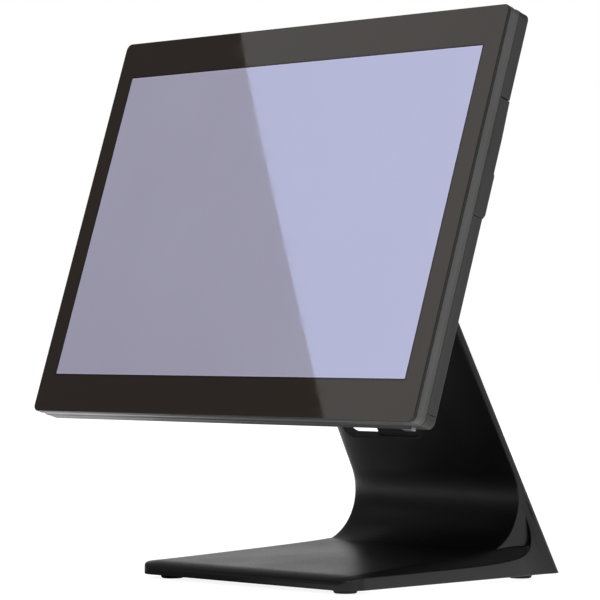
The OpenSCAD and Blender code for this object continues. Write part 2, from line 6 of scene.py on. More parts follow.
import bmesh
import bpy
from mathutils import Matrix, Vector


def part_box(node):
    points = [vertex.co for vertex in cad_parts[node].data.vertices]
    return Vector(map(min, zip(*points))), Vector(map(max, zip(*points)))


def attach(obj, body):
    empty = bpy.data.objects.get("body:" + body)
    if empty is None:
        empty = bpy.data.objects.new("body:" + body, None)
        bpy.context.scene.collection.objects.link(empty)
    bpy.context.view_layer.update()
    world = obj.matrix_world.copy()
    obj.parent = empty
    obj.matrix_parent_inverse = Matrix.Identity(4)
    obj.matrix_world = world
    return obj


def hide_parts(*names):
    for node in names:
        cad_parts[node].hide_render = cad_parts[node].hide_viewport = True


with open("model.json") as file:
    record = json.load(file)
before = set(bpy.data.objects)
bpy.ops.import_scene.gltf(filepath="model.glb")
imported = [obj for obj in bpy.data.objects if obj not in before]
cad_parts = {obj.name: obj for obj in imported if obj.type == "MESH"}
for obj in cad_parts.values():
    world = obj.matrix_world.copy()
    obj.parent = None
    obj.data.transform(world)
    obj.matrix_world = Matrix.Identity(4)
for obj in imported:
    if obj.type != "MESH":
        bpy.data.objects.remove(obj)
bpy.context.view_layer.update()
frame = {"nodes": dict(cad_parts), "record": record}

MM = 0.001
NODES = frame["nodes"]
RECORD = frame["record"]

# ---------------------------------------------------------------- frames

VESA = next(m for m in RECORD["mounts"] if m["name"] == "vesa_100")
BACK = Vector(VESA["axis"]).normalized()
UP = Vector((0, -BACK.z, BACK.y))


def spread(node, axis):
    """Lowest and highest place of a CAD node along a direction, in metres."""
    along = [v.co.dot(axis) for v in NODES[node].data.vertices]
    return min(along), max(along)


GLASS_FRONT, GLASS_BACK = spread("front_glass", BACK)
GLASS_LOW, GLASS_HIGH = spread("front_glass", UP)
GLASS_HALF_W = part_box("front_glass")[1].x / MM
GLASS_HALF_H = (GLASS_HIGH - GLASS_LOW) / 2 / MM
HEAD_ORIGIN = BACK * GLASS_FRONT + UP * (GLASS_LOW + GLASS_HIGH) / 2


def depth_of(node, side):
    """Depth of a node's front (0) or back (1) behind the glass front, in millimetres."""
    return (spread(node, BACK)[side] - GLASS_FRONT) / MM


def head(x, depth, up):
    """A place in the head, in millimetres across, back from the glass and up along it."""
    return HEAD_ORIGIN + (Vector((x, 0, 0)) + BACK * depth + UP * up) * MM


STAND_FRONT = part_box("stand_body")[0].y / MM
FOOT_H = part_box("stand_body")[0].z / MM
BASE_FRONT = -16.5


def stand(x, y, z):
    """A place in the stand, in millimetres, with Y counted from under the picture's middle."""
    return Vector((x, y - BASE_FRONT + STAND_FRONT, z)) * MM


# ---------------------------------------------------------------- meshes


def smooth_by_angle(mesh, degrees):
    bm = bmesh.new()
    bm.from_mesh(mesh)
    bmesh.ops.recalc_face_normals(bm, faces=bm.faces)
    limit = math.radians(degrees)
    for edge in bm.edges:
        edge.smooth = len(edge.link_faces) == 2 and edge.calc_face_angle(0) < limit
    for face in bm.faces:
        face.smooth = True
    bm.to_mesh(mesh)
    bm.free()


def piece(name, points, faces, degrees=32):
    mesh = bpy.data.meshes.new(name)
    mesh.from_pydata([tuple(p) for p in points], [], faces)
    smooth_by_angle(mesh, degrees)
    obj = bpy.data.objects.new(name, mesh)
    bpy.context.scene.collection.objects.link(obj)
    return obj


def even_shading(obj):
    """Keeps flats flat beside small rounded edges."""
    modifier = obj.modifiers.new("shading", "WEIGHTED_NORMAL")
    modifier.mode = "FACE_AREA"
    modifier.weight = 50
    modifier.keep_sharp = True


def outline(half_w, half_h, r, steps=8, cx=0.0, cy=0.0):
    """Points round a rectangle with round corners."""
    r = max(r, 0.01)
    points = []
    for k, (sx, sy) in enumerate([(1, 1), (-1, 1), (-1, -1), (1, -1)]):
        for i in range(steps + 1):
            a = math.pi / 2 * (k + i / steps)
            x = cx + sx * (half_w - r) + r * math.cos(a)
            y = cy + sy * (half_h - r) + r * math.sin(a)
            points.append((x, y))
    return points


def loft(rings, place, loop=False):
    """Skins rings of (flat points, depth) with equal counts; ends are capped unless the rings make a loop."""
    n = len(rings[0][0])
    points = [place(x, depth, y) for flat, depth in rings for x, y in flat]
    faces = []
    for k in range(len(rings) if loop else len(rings) - 1):
        a, b = k * n, (k + 1) % len(rings) * n
        faces += [[a + i, a + (i + 1) % n, b + (i + 1) % n, b + i] for i in range(n)]
    if not loop:
        faces.append(list(range(n))[::-1])
        faces.append([(len(rings) - 1) * n + i for i in range(n)])
    return points, faces


def cut(target, cutters):
    """Takes a list of closed (points, faces) shapes away from the target."""
    points, faces = [], []
    for p, f in cutters:
        faces += [[i + len(points) for i in face] for face in f]
        points += p
    tool = piece("cutter", points, faces)
    modifier = target.modifiers.new("cut", "BOOLEAN")
    modifier.operation = "DIFFERENCE"
    modifier.solver = "EXACT"
    modifier.object = tool
    evaluated = target.evaluated_get(bpy.context.evaluated_depsgraph_get())
    mesh = bpy.data.meshes.new_from_object(evaluated)
    target.modifiers.clear()
    old = target.data
    target.data = mesh
    bpy.data.meshes.remove(old)
    bpy.data.objects.remove(tool)


def soften(obj, width, segments=2, degrees=35):
    """Rounds the sharp edges by a small real radius."""
    weld = obj.modifiers.new("weld", "WELD")
    weld.merge_threshold = 2e-6
    bevel = obj.modifiers.new("round", "BEVEL")
    bevel.width = width * MM
    bevel.segments = segments
    bevel.limit_method = "ANGLE"
    bevel.angle_limit = math.radians(degrees)
    bevel.use_clamp_overlap = True
    bevel.miter_outer = "MITER_ARC"
    bevel.harden_normals = False


def arc(cx, cy, r, a0, a1, steps):
    """Points along an arc from one angle to another, in degrees."""
    angles = [math.radians(a0 + (a1 - a0) * i / steps) for i in range(steps + 1)]
    return [(cx + r * math.cos(a), cy + r * math.sin(a)) for a in angles]


# ---------------------------------------------------------------- materials


class Nodes:
    """A short way to write a node material."""

    def __init__(self, name):
        self.material = bpy.data.materials.new(name)
        self.material.use_nodes = True
        self.tree = self.material.node_tree
        self.shader = self.tree.nodes["Principled BSDF"]
        self.coords = self.add("ShaderNodeTexCoord").outputs["Object"]

    def add(self, kind, inputs=None, **settings):
        node = self.tree.nodes.new(kind)
        for key, value in settings.items():
            setattr(node, key, value)
        for key, value in (inputs or {}).items():
            if isinstance(value, bpy.types.NodeSocket):
                self.tree.links.new(value, node.inputs[key])
            else:
                node.inputs[key].default_value = value
        return node

    def noise(self, scale, detail=4.0, rough=0.55, stretch=None):
        vector = self.coords
        if stretch:
            vector = self.add("ShaderNodeMapping", {"Vector": vector, "Scale": stretch}).outputs[0]
        settings = {"Vector": vector, "Scale": scale, "Detail": detail, "Roughness": rough}
        return self.add("ShaderNodeTexNoise", settings).outputs[0]

    def spread(self, value, low, high, start=0.3, end=0.7):
        limits = {"From Min": start, "From Max": end, "To Min": low, "To Max": high}
        return self.add("ShaderNodeMapRange", {"Value": value, **limits}).outputs[0]

    def blend(self, factor, a, b):
        node = self.add("ShaderNodeMix", data_type="RGBA")
        for key, value in (("Factor_Float", factor), ("A_Color", a), ("B_Color", b)):
            socket = next(s for s in node.inputs if s.identifier == key)
            if isinstance(value, bpy.types.NodeSocket):
                self.tree.links.new(value, socket)
            else:
                socket.default_value = value
        return next(s for s in node.outputs if s.identifier == "Result_Color")

    def math(self, operation, a, b):
        return self.add("ShaderNodeMath", {0: a, 1: b}, operation=operation).outputs[0]

    def worn_edges(self, radius, start=0.04, end=0.4):
        """1 on sharp edges and 0 on flats."""
        rounded = self.add("ShaderNodeBevel", {"Radius": radius * MM}, samples=4).outputs[0]
        true = self.add("ShaderNodeNewGeometry").outputs["Normal"]
        dot = self.add("ShaderNodeVectorMath", {0: rounded, 1: true}, operation="DOT_PRODUCT")
        edge = self.math("SUBTRACT", 1.0, dot.outputs["Value"])
        return self.spread(edge, 0.0, 1.0, start, end)

    def bump(self, height, strength, distance):
        node = self.add("ShaderNodeBump", {"Height": height, "Strength": strength, "Distance": distance * MM})
        self.tree.links.new(node.outputs[0], self.shader.inputs["Normal"])

    def set(self, **values):
        for key, value in values.items():
            socket = self.shader.inputs[key.replace("_", " ")]
            if isinstance(value, bpy.types.NodeSocket):
                self.tree.links.new(value, socket)
            else:
                socket.default_value = value


def rgb(r, g, b):
    return (r, g, b, 1.0)


def shade(color, factor):
    return rgb(*[min(1.0, c * factor) for c in color[:3]])


def moulded(name, color, rough, grain=2600.0, depth=0.012, edge=1.9):
    """Moulded plastic with a fine spark-eroded grain, faint blotches and polished edges."""
    m = Nodes(name)
    fine = m.noise(grain, 3.0, 0.6)
    broad = m.noise(22.0, 3.0)
    base = m.blend(m.spread(broad, 0.0, 1.0), shade(color, 0.86), shade(color, 1.14))
    wear = m.math("MULTIPLY", m.worn_edges(0.5), m.spread(m.noise(160.0), 0.2, 0.9))
    m.set(
        Base_Color=m.blend(wear, base, shade(color, edge)),
        Roughness=m.math("ADD", m.spread(fine, rough - 0.05, rough + 0.06), m.spread(broad, -0.03, 0.03)),
    )
    m.shader.inputs["Specular IOR Level"].default_value = 0.42
    m.bump(fine, 0.35, depth)
    return m.material


def coated(name, color, rough, grain=1500.0, depth=0.03, specular=0.4):
    """Powder coat: tiny orange-peel bumps, slightly rubbed where it is touched."""
    m = Nodes(name)
    peel = m.noise(grain, 2.0, 0.5)
    broad = m.noise(14.0, 4.0)
    base = m.blend(m.spread(broad, 0.0, 1.0), shade(color, 0.85), shade(color, 1.2))
    wear = m.math("MULTIPLY", m.worn_edges(0.6), m.spread(m.noise(120.0), 0.1, 0.8))
    m.set(
        Base_Color=m.blend(wear, base, shade(color, 2.2)),
        Roughness=m.math("ADD", m.spread(peel, rough - 0.04, rough + 0.05), m.spread(broad, -0.03, 0.04)),
    )
    m.shader.inputs["Specular IOR Level"].default_value = specular
    m.bump(peel, 0.3, depth)
    return m.material


def metal(name, color, rough, stretch=(1.0, 30.0, 30.0), scale=260.0, depth=0.004):
    """Bare or plated metal with rolling or turning lines and dull spots."""
    m = Nodes(name)
    lines = m.noise(scale, 3.0, 0.6, stretch)
    spots = m.noise(90.0, 4.0)
    m.set(
        Base_Color=m.blend(m.spread(spots, 0.0, 1.0), shade(color, 0.82), shade(color, 1.06)),
        Roughness=m.math("ADD", m.spread(lines, rough - 0.07, rough + 0.08), m.spread(spots, -0.03, 0.05)),
        Metallic=1.0,
    )
    m.bump(lines, 0.3, depth)
    return m.material


def rubber(name, color, rough=0.82):
    """Matt rubber or foam with a fine grain and a little dust."""
    m = Nodes(name)
    fine = m.noise(1900.0, 3.0)
    dust = m.noise(60.0, 5.0)
    m.set(
        Base_Color=m.blend(m.spread(dust, 0.0, 1.0, 0.45, 0.75), color, shade(color, 1.9)),
        Roughness=m.spread(fine, rough - 0.06, rough + 0.08),
    )
    m.shader.inputs["Specular IOR Level"].default_value = 0.3
    m.bump(fine, 0.4, 0.02)
    return m.material


def board(name, color):
    """Circuit board: solder mask over copper traces, with pads."""
    m = Nodes(name)
    bricks = {"Vector": m.coords, "Scale": 260.0, "Mortar Size": 0.03}
    lines = m.add("ShaderNodeTexBrick", bricks).outputs["Fac"]
    dots = m.add("ShaderNodeTexVoronoi", {"Vector": m.coords, "Scale": 420.0}).outputs["Distance"]
    pads = m.spread(dots, 1.0, 0.0, 0.16, 0.2)
    traced = m.blend(lines, color, shade(color, 1.7))
    m.set(
        Base_Color=m.blend(pads, traced, rgb(0.62, 0.6, 0.52)),
        Roughness=m.spread(dots, 0.3, 0.45),
    )
    m.bump(m.math("ADD", lines, pads), 0.3, 0.03)
    return m.material


def smudged_glass(name, color, rough, ior, tint=(1.0, 1.0, 1.0), vary=0.06, grid=0.0):
    """Polished cover glass over a printed or display layer, with the faintest smudges."""
    m = Nodes(name)
    cloud = m.noise(9.0, 3.0)
    smear = m.noise(42.0, 5.0, 0.6, (1.0, 0.5, 2.4))
    base = m.blend(m.spread(cloud, 0.0, 1.0), shade(color, 1 - vary), shade(color, 1 + vary))
    if grid:
        cells = m.add("ShaderNodeTexChecker", {"Vector": m.coords, "Scale": 1 / (grid * MM)}).outputs["Fac"]
        base = m.blend(m.math("MULTIPLY", cells, 0.05), base, shade(color, 0.8))
    m.set(Base_Color=base, Roughness=m.spread(smear, rough, rough + 0.035, 0.45, 0.8))
    m.shader.inputs["IOR"].default_value = ior
    m.shader.inputs["Specular Tint"].default_value = rgb(*tint)
    m.bump(m.noise(3.0, 1.0), 0.02, 0.05)
    return m.material


BLACK_PRINT = smudged_glass("black_print", rgb(0.018, 0.012, 0.008), 0.015, 1.5)
SCREEN = smudged_glass("screen", rgb(0.48, 0.455, 0.565), 0.015, 3.5, (0.5, 0.6, 1.0), 0.02, 0.26)
SCREEN_LIP = smudged_glass("screen_lip", rgb(0.56, 0.53, 0.65), 0.015, 3.5, (0.5, 0.6, 1.0), 0.02)
SCREEN_RIM = smudged_glass("screen_rim", rgb(0.014, 0.005, 0.013), 0.03, 1.4)
GLASS_EDGE = smudged_glass("glass_edge", rgb(0.03, 0.034, 0.032), 0.35, 1.12)

FINISHES = {
    "glass_front": lambda n: BLACK_PRINT,
    "sensor": lambda n: smudged_glass(n, rgb(0.5, 0.5, 0.62), 0.1, 1.5),
    "lcd": lambda n: smudged_glass(n, rgb(0.56, 0.56, 0.72), 0.15, 1.5, (1, 1, 1), 0.04, 0.26),
    "sheet_steel": lambda n: metal(n, rgb(0.66, 0.67, 0.68), 0.36),
    "black_foam": lambda n: rubber(n, rgb(0.006, 0.006, 0.006), 0.95),
    # Painted light: the front frame is the housing's black plastic made about three times lighter, standing
    # in for the light that falls on the head's right side band.
    "frame_plastic": lambda n: moulded(n, rgb(0.062, 0.061, 0.06), 0.42),
    "housing_plastic": lambda n: moulded(n, rgb(0.021, 0.021, 0.0215), 0.5),
    "cover_plastic": lambda n: moulded(n, rgb(0.02, 0.02, 0.0205), 0.5),
    "circuit_board": lambda n: board(n, rgb(0.012, 0.1, 0.05)),
    "chip": lambda n: moulded(n, rgb(0.02, 0.02, 0.022), 0.45),
    "processor_lid": lambda n: metal(n, rgb(0.62, 0.62, 0.63), 0.4),
    "bare_aluminium": lambda n: metal(n, rgb(0.78, 0.79, 0.8), 0.32, (1.0, 1.0, 40.0)),
    "brass": lambda n: metal(n, rgb(0.76, 0.56, 0.26), 0.28, (30.0, 30.0, 1.0)),
    "plated_shell": lambda n: metal(n, rgb(0.72, 0.73, 0.74), 0.24),
    "socket_black": lambda n: moulded(n, rgb(0.015, 0.015, 0.016), 0.55),
    "speaker_black": lambda n: moulded(n, rgb(0.02, 0.02, 0.022), 0.6),
    "button_metal": lambda n: metal(n, rgb(0.24, 0.24, 0.25), 0.36),
    "screw_black": lambda n: coated(n, rgb(0.022, 0.022, 0.024), 0.38),
    "screw_zinc": lambda n: metal(n, rgb(0.6, 0.61, 0.63), 0.3, (20.0, 20.0, 1.0)),
    "bracket_black": lambda n: coated(n, rgb(0.016, 0.016, 0.017), 0.5),
    "pin_steel": lambda n: metal(n, rgb(0.62, 0.63, 0.65), 0.25, (60.0, 1.0, 1.0)),
    "washer_bronze": lambda n: metal(n, rgb(0.62, 0.44, 0.22), 0.35, (60.0, 1.0, 1.0)),
    "spring_steel": lambda n: metal(n, rgb(0.4, 0.41, 0.44), 0.3, (60.0, 1.0, 1.0)),
    "stand_coat": lambda n: coated(n, rgb(0.003, 0.0029, 0.0029), 0.34, 1100.0, 0.014, 0.3),
    "rear_cover_coat": lambda n: coated(n, rgb(0.013, 0.013, 0.014), 0.46),
    "base_steel": lambda n: metal(n, rgb(0.4, 0.41, 0.42), 0.42),
    "ballast_steel": lambda n: metal(n, rgb(0.22, 0.22, 0.23), 0.6),
    "grommet_rubber": lambda n: rubber(n, rgb(0.009, 0.009, 0.0095)),
    "foot_rubber": lambda n: rubber(n, rgb(0.004, 0.004, 0.004)),
}
SLOT_OF = {s["node"]: s["material_slot"] for s in RECORD["subparts"]}
MATERIALS = {slot: make(slot) for slot, make in FINISHES.items()}


def finish_piece(obj, node, body, also=()):
    """The piece stands for a CAD node and takes its body and slot."""
    if not obj.data.materials:
        obj.data.materials.append(MATERIALS[SLOT_OF[node]])
    even_shading(obj)
    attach(obj, body)
    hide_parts(node, *also)


for node, obj in NODES.items():
    obj.data.materials.clear()
    obj.data.materials.append(MATERIALS[SLOT_OF[node]])

# ---------------------------------------------------------------- front glass

SCREEN_HALF_W = 165.5
SCREEN_HALF_H = 103.5
SCREEN_RIM_W = 1.2
SCREEN_LIP_W = 0.6
CORNER_R = 4.5
CORNER_STEPS = 10
GLASS_T = (GLASS_BACK - GLASS_FRONT) / MM
GROUND_EDGE = 0.2
PRINT, PICTURE, RIM, EDGE, LIP = range(5)


def glass_outline(inset):
    return outline(GLASS_HALF_W - inset, GLASS_HALF_H - inset, CORNER_R - inset, CORNER_STEPS)


def screen_outline(grow, r):
    return outline(SCREEN_HALF_W + grow, SCREEN_HALF_H + grow, r, CORNER_STEPS)


def build_glass():
    """Cover glass with ground edges; the border, picture and lines between are faces of its front."""
    rings = [
        (screen_outline(-SCREEN_LIP_W, 0.3), 0.0),
        (screen_outline(0.0, 0.6), 0.0),
        (screen_outline(SCREEN_RIM_W, 1.2), 0.0),
        (glass_outline(0.45), 0.0),
        (glass_outline(0.2), 0.08),
        (glass_outline(0.05), 0.25),
        (glass_outline(0.0), 0.5),
        (glass_outline(0.0), GLASS_T - 0.4),
        (glass_outline(0.3), GLASS_T),
    ]
    points, faces = loft(rings, head)
    obj = piece("glass_panel", points, faces, 12)
    for material in (BLACK_PRINT, SCREEN, SCREEN_RIM, GLASS_EDGE, SCREEN_LIP):
        obj.data.materials.append(material)
    for polygon in obj.data.polygons:
        centre = polygon.center - HEAD_ORIGIN
        x, up = abs(centre.x) / MM, abs(centre.dot(UP)) / MM
        outside = max(x - SCREEN_HALF_W, up - SCREEN_HALF_H)
        if centre.dot(BACK) / MM > GROUND_EDGE:
            polygon.material_index = EDGE
        elif outside < -SCREEN_LIP_W:
            polygon.material_index = PICTURE
        elif outside < 0:
            polygon.material_index = LIP
        elif outside < SCREEN_RIM_W:
            polygon.material_index = RIM
        else:
            polygon.material_index = PRINT
    return obj


finish_piece(build_glass(), "front_glass", "head")

# ---------------------------------------------------------------- front frame and rear housing

FRAME_FRONT = depth_of("front_frame", 0)
FRAME_BACK = depth_of("front_frame", 1)
SLAB_BACK = 18.0
HUMP_BACK = depth_of("rear_housing", 1)
HUMP_HALF_W = 140.0
HUMP_HALF_H = 95.0
HUMP_R = 14.0
HUMP_FOOT_R = 3.2
HUMP_EDGE_R = 4.0
BAY_HALF_W = 171.5
BAY_HALF_H = 110.0
WALL = 2.2
REAR_EDGE_R = 0.9


def edge_ring(inset, depth):
    """Outline of the head's edge at a depth; its corners grow tighter as it draws in."""
    return outline(GLASS_HALF_W - inset, GLASS_HALF_H - inset, CORNER_R - inset * 0.6, CORNER_STEPS), depth


def build_frame():
    """Front frame: a rolled front edge that hides the gasket, a shallow waist and a raised rear edge."""
    rolled_front = [(1.1, FRAME_FRONT), (1.1, 2.4), (0.75, 2.3), (0.35, 2.45), (0.12, 2.85), (0.02, 3.6)]
    waist = [(0.02, 4.6), (0.12, 5.5), (0.3, 6.3), (0.36, 7.0), (0.26, 7.8), (0.06, 8.6)]
    rear_edge = [(0.0, FRAME_BACK - 0.3), (0.06, FRAME_BACK - 0.12), (0.3, FRAME_BACK - 0.05)]
    rings = [edge_ring(inset, depth) for inset, depth in rolled_front + waist + rear_edge]
    bay = outline(BAY_HALF_W, BAY_HALF_H, 2.0, CORNER_STEPS)
    rings += [(bay, FRAME_BACK - 0.1), (bay, FRAME_FRONT)]
    points, faces = loft(rings, head, loop=True)
    return piece("front_band", points, faces, 25)


finish_piece(build_frame(), "front_frame", "head")


def side_profile():
    """(inset, depth) down the rear housing's side, from its joint with the front frame to its flat back."""
    rolled = [(0.9, 0.02), (0.3, 0.05), (0.06, 0.15), (0.0, 0.5), (0.02, 1.2)]
    rolled += [(0.1, 1.9), (0.2, 2.6), (0.22, 3.6)]
    last = rolled[-1][0]
    back_edge = arc(0.0, SLAB_BACK - REAR_EDGE_R, REAR_EDGE_R, 0, 90, 6)
    profile = [(inset, FRAME_BACK + depth) for inset, depth in rolled]
    return profile + [(last + REAR_EDGE_R - x, y) for x, y in back_edge]


def hump_ring(grow, depth):
    return outline(HUMP_HALF_W + grow, HUMP_HALF_H + grow, HUMP_R + grow, CORNER_STEPS), depth


def block(x0, x1, d0, d1, z0, z1, r, along="depth"):
    """Closed cutter with round corners, drawn along the head's depth or up it."""
    if along == "depth":
        flat = outline((x1 - x0) / 2, (z1 - z0) / 2, r, 5, (x0 + x1) / 2, (z0 + z1) / 2)
        return loft([(flat, d0), (flat, d1)], head)
    flat = outline((x1 - x0) / 2, (d1 - d0) / 2, r, 5, (x0 + x1) / 2, (d0 + d1) / 2)
    return loft([(flat, z0), (flat, z1)], lambda x, z, d: head(x, d, z))


def slot(x, half_w, *limits):
    """A block cutter given by its middle and half width, with the other limits as in block."""
    return block(x - half_w, x + half_w, *limits)


def round_hole(x, z, r, d0, d1, place=head, steps=28):
    turns = [2 * math.pi * i / steps for i in range(steps)]
    flat = [(x + r * math.cos(a), z + r * math.sin(a)) for a in turns]
    return loft([(flat, d0), (flat, d1)], place)


HOUSING_SCREWS = [(x, s * (GLASS_HALF_H - 9.6)) for x in (-150, -50, 50, 150) for s in (-1, 1)]
BACK_VENT_PITCH, BACK_VENT_LOW, BACK_VENT_HIGH = 14, 61, 83
TOP_VENT_PITCH = 12
VENT_HALF_W = 1.5
SPEAKER_X, SPEAKER_PITCH, SPEAKER_LOW, SPEAKER_HIGH = 98, 5.5, -109, -97
VESA_HALF, BRACKET_HALF, FIXING_R = 50, 37.5, 2.0
SCREW_POCKET_R, SCREW_POCKET_D = 3.0, 1.8
PORT_HALF_W, PORT_DEPTH, PORT_HALF_D = 84.1, 23.5, 6.1
BUTTON_X, BUTTON_HALF_W, BUTTON_FRONT, BUTTON_BACK = 166.0, 4.2, 9.8, 13.8
STRIP_FRONT = FRAME_BACK + 0.9
STRIP_RECESS = 2.4
SIDE_COVER_LOW, SIDE_COVER_HIGH = 0.3, 73.7
SEAM_LOW, SEAM_DEPTH, SEAM_HALF = -121.5, 1.0, 0.25


def housing_cutters():
    """Vents, speaker slots, fixing holes, screw pockets, port and button openings, and the side recesses."""
    through = HUMP_BACK - WALL - 1, HUMP_BACK + 1
    slab = SLAB_BACK - WALL - 1, SLAB_BACK + 1
    top = SLAB_BACK + 5, SLAB_BACK + 12, HUMP_HALF_H - WALL - 1, HUMP_HALF_H + 1
    port = PORT_DEPTH - PORT_HALF_D, PORT_DEPTH + PORT_HALF_D, -HUMP_HALF_H - 1, -HUMP_HALF_H + WALL + 1
    button = BUTTON_FRONT, BUTTON_BACK, -GLASS_HALF_H - 1, -GLASS_HALF_H + 3.4
    signs = [(sx, sz) for sx in (-1, 1) for sz in (-1, 1)]
    cutters = [
        slot(BACK_VENT_PITCH * i, VENT_HALF_W, *through, BACK_VENT_LOW, BACK_VENT_HIGH, 1.4)
        for i in range(-8, 9)
    ]
    cutters += [slot(TOP_VENT_PITCH * i, VENT_HALF_W, *top, 1.3, "up") for i in range(-9, 10)]
    cutters += [
        slot(s * (SPEAKER_X + SPEAKER_PITCH * i), 1, *slab, SPEAKER_LOW, SPEAKER_HIGH, 0.95)
        for i in range(8)
        for s in (-1, 1)
    ]
    for half in (VESA_HALF, BRACKET_HALF):
        cutters += [round_hole(sx * half, sz * half, FIXING_R, *through) for sx, sz in signs]
    pocket = SLAB_BACK - SCREW_POCKET_D, SLAB_BACK + 1
    cutters += [round_hole(x, z, SCREW_POCKET_R, *pocket) for x, z in HOUSING_SCREWS]
    cutters.append(block(-PORT_HALF_W, PORT_HALF_W, *port, 1.5, "up"))
    cutters.append(slot(BUTTON_X, BUTTON_HALF_W, *button, 0.8, "up"))
    x0 = GLASS_HALF_W - STRIP_RECESS
    side = STRIP_FRONT, SLAB_BACK + 1
    cutters.append(block(x0, x0 + 4, *side, SIDE_COVER_LOW - 0.5, SIDE_COVER_HIGH + 0.6, 0.01))
    seam = SEAM_LOW - SEAM_HALF, SEAM_LOW + SEAM_HALF
    cutters.append(block(GLASS_HALF_W - SEAM_DEPTH, x0 + 4, *side, *seam, 0.01))
    return cutters


def build_housing():
    """Rear housing: a tapered rim, a flat back and a raised middle with vents, ports and fixing holes."""
    outer = [edge_ring(inset, depth) for inset, depth in side_profile()]
    outer.append(hump_ring(HUMP_FOOT_R, SLAB_BACK))
    for i in range(1, 5):
        t = math.pi / 2 * i / 5
        depth = SLAB_BACK + HUMP_FOOT_R - HUMP_FOOT_R * math.cos(t)
        outer.append(hump_ring(HUMP_FOOT_R - HUMP_FOOT_R * math.sin(t), depth))
    outer.append(hump_ring(0.0, SLAB_BACK + HUMP_FOOT_R))
    for x, y in arc(0, 0, HUMP_EDGE_R, 0, 90, 6):
        outer.append(hump_ring(-HUMP_EDGE_R + x, HUMP_BACK - HUMP_EDGE_R + y))
    inner = [
        hump_ring(-6.5, HUMP_BACK - WALL),
        hump_ring(-WALL, HUMP_BACK - WALL - 2.5),
        hump_ring(-WALL, SLAB_BACK - WALL),
        edge_ring(WALL + 2.6, SLAB_BACK - WALL),
        edge_ring(WALL, SLAB_BACK - WALL - 2.0),
        edge_ring(WALL, FRAME_BACK + 0.02),
    ]
    n = len(outer[0][0])
    rings = outer + inner
    points = [head(x, depth, y) for flat, depth in rings for x, y in flat]
    faces = []
    for k in range(len(rings)):
        a, b = k * n, (k + 1) % len(rings) * n
        if k == len(outer) - 1:
            faces.append([a + i for i in range(n)])
            faces.append([b + i for i in range(n)][::-1])
        else:
            faces += [[a + i, a + (i + 1) % n, b + (i + 1) % n, b + i] for i in range(n)]
    obj = piece("rear_shell", points, faces, 28)
    cut(obj, housing_cutters())
    smooth_by_angle(obj.data, 28)
    return obj


finish_piece(build_housing(), "rear_housing", "head")


def build_side_cover():
    """Strip cover on the head's right side; its rear edge stands proud, more so at the finger grip below."""
    start = FRAME_BACK + 1.1
    tab, inner_back = GLASS_HALF_W - 5.0, SLAB_BACK + 0.1
    inner_side = GLASS_HALF_W - 2.3
    grip = [(0.0, 0.4, 0.5), (2.5, 0.1, 1.7), (27.0, 0.1, 1.7), (28.5, 0.1, 0.9)]
    taper = [(50.0, 0.1, 0.9), (73.0, 0.1, 0.15), (73.4, 0.4, 0.1)]
    rings = []
    for up, inset, proud in grip + taper:
        back = SLAB_BACK + proud
        side = GLASS_HALF_W - inset
        flat = [(side, start), (side, back - 1.0)]
        flat += [(side - 1 + x, y) for x, y in arc(0.0, back - 1.0, 1.0, 15, 90, 5)]
        flat += [(tab, back), (tab, inner_back), (inner_side, inner_back), (inner_side, start)]
        rings.append((flat, up + SIDE_COVER_LOW))
    points, faces = loft(rings, lambda x, z, d: head(x, d, z))
    return piece("side_strip", points, faces, 30)


finish_piece(build_side_cover(), "side_cover", "head")

# ---------------------------------------------------------------- stand

RUN = 0.519
RISE = 0.0635
SWEEP_R = 32.7
NECK_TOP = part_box("stand_body")[1].z / MM
SKIN_T, COVER_T = 3.4, 2.5
SLOPE = math.atan(RUN)
BASE_BACK = BASE_FRONT + 204
BACK_AT0 = BASE_BACK + RUN * FOOT_H
FRONT_AT0 = BACK_AT0 - (SKIN_T + COVER_T) / math.cos(SLOPE)
JOINT_AT0 = BACK_AT0 - COVER_T / math.cos(SLOPE)
BACK_END = JOINT_AT0 - RUN * FOOT_H
EDGE_Z = 10.6
BASE_HALF_W, BASE_TAPER, BASE_TAPER_START = 102, 0.117, 4.5
BASE_CORNER_R = 13.0
NECK_LOW_HALF_W, NECK_TAPER = 79.5, 0.0415
NECK_CORNER_R = 14
NOSE_H = 3.0
RIM_LOW, RIM_RISE, RIM_END, RIM_POWER, RIM_MOST = 9.8, 205.0, 184.0, 1.086, 62.0
TOP_END = 165.0
LEAN_START, LEAN_LENGTH = 70, 95
CROWN_W, CROWN_LOSS, CROWN_START, CROWN_LENGTH, CROWN_POWER = 10.0, 6.0, 110, 60, 1.6
FLUSH_START = 150
CROWN_STEPS = 9
SWEEP_STEPS, NECK_STEPS, EDGE_STEPS = 48, 30, 14
NECK_EDGE_W, NECK_EDGE_D = 24.0, 1.8
BACK_SHARE = 1.55


def base_top(y):
    return EDGE_Z + RISE * (y - BASE_FRONT)


def base_half(y):
    return BASE_HALF_W - BASE_TAPER * (y - BASE_FRONT - BASE_TAPER_START)


def neck_half(z):
    return NECK_LOW_HALF_W - NECK_TAPER * z


CORNER_Y = (FRONT_AT0 - RUN * base_top(0)) / (1 + RUN * RISE)
CORNER_Z = base_top(CORNER_Y)
BASE_A = math.atan(RISE)
NECK_A = math.pi / 2 + SLOPE
HALF_A = (math.pi + BASE_A - NECK_A) / 2
SWEEP_Y = CORNER_Y + SWEEP_R / math.sin(HALF_A) * math.cos(NECK_A + HALF_A)
SWEEP_Z = CORNER_Z + SWEEP_R / math.sin(HALF_A) * math.sin(NECK_A + HALF_A)
TOUCH = SWEEP_R / math.tan(HALF_A)


def neck_place(x, depth, up):
    """A place on the neck: across, back from its front face, and up along it."""
    y = FRONT_AT0 + depth * math.cos(SLOPE) - up * math.sin(SLOPE)
    return stand(x, y, depth * math.sin(SLOPE) + up * math.cos(SLOPE))


def smooth_step(t):
    """0 up to 0, 1 from 1 on, and an even S between."""
    t = min(1.0, max(0.0, t))
    return t * t * (3 - 2 * t)


